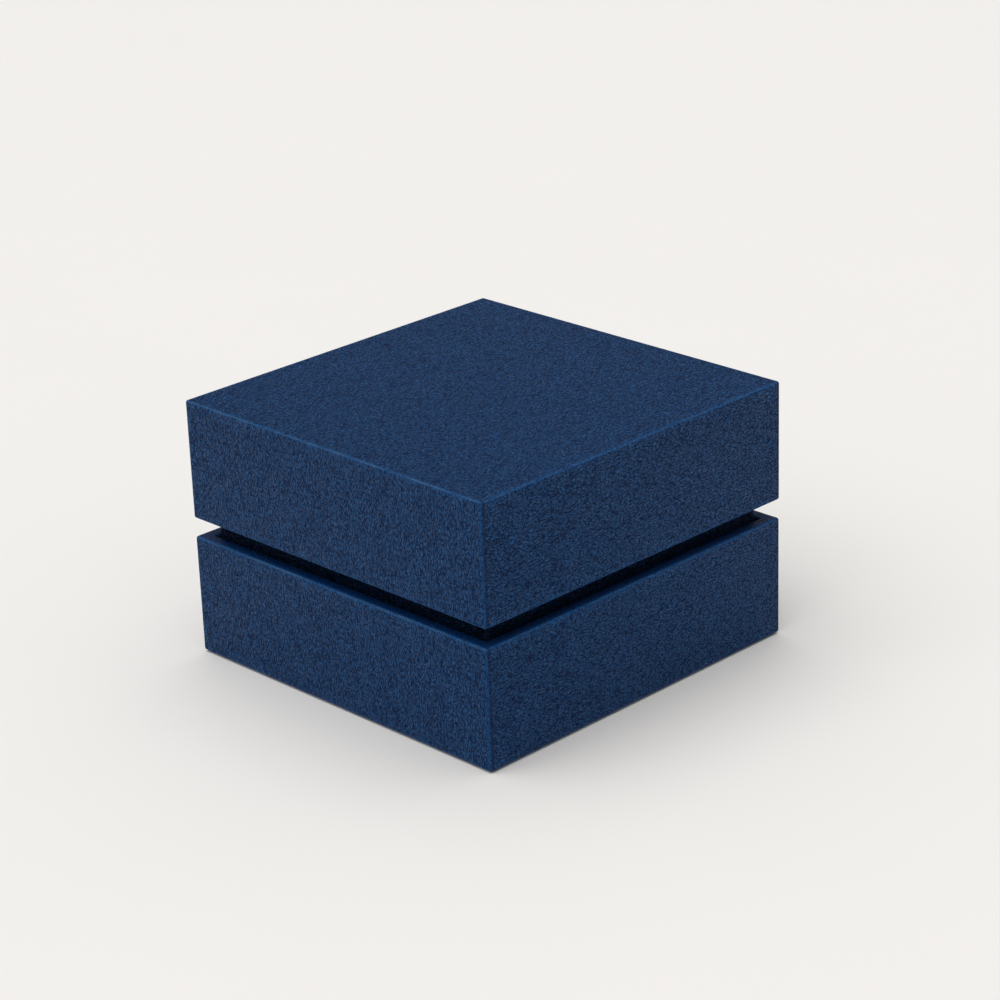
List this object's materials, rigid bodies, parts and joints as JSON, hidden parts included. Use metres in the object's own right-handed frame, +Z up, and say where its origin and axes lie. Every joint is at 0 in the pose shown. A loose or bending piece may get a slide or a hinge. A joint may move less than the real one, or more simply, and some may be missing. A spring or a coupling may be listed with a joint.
{
  "type": "jewelry gift box",
  "caption": "Square rigid gift box for jewellery: a lift-off lid over an inset neck, with a velvet ring pad that lifts out and a padded satin lid lining.",
  "frame": {"origin": "centre of the underside, on the surface that the box stands on", "axes": "+Z up, in the direction that the lid and the insert lift; +X and +Y square to the sides, with the pull ribbon at the +Y side and the ring slot along X"},
  "size_m": [0.07, 0.07, 0.046],
  "materials": {
    "leatherette": "satin",
    "neck_leatherette": "satin",
    "greyboard": "matte",
    "kraft_tape": "matte",
    "underside_paper": "matte",
    "velvet_paper": "matte",
    "velvet": "matte",
    "foam": "matte",
    "ribbon": "satin",
    "satin": "satin",
    "lining_paper": "matte"
  },
  "bodies": {
    "base": {"base_floor_panel": "greyboard", "base_wall_frame": "greyboard", "base_corner_stays": "kraft_tape", "base_wrap": "leatherette", "base_underside_sheet": "underside_paper", "base_floor_lining": "velvet_paper", "neck_board": "greyboard", "neck_joint_tape": "kraft_tape", "neck_wrap": "neck_leatherette", "neck_lining": "velvet_paper"},
    "insert": {"insert_platform": "greyboard", "insert_foam_base": "foam", "insert_foam_front": "foam", "insert_foam_rear": "foam", "insert_velvet": "velvet", "insert_pull_ribbon": "ribbon"},
    "lid": {"lid_top_panel": "greyboard", "lid_wall_frame": "greyboard", "lid_corner_stays": "kraft_tape", "lid_wrap": "leatherette", "lid_lining": "lining_paper", "lid_pad_card": "greyboard", "lid_pad_foam": "foam", "lid_pad_satin": "satin"}
  },
  "joints": [
    {"name": "insert_lift", "type": "slide", "parent": "base", "child": "insert", "axis": [0, 0, 1], "range_m": [0, 0.042]},
    {"name": "lid_lift", "type": "slide", "parent": "insert", "child": "lid", "axis": [0, 0, 1], "range_m": [0, 0.06]}
  ]
}
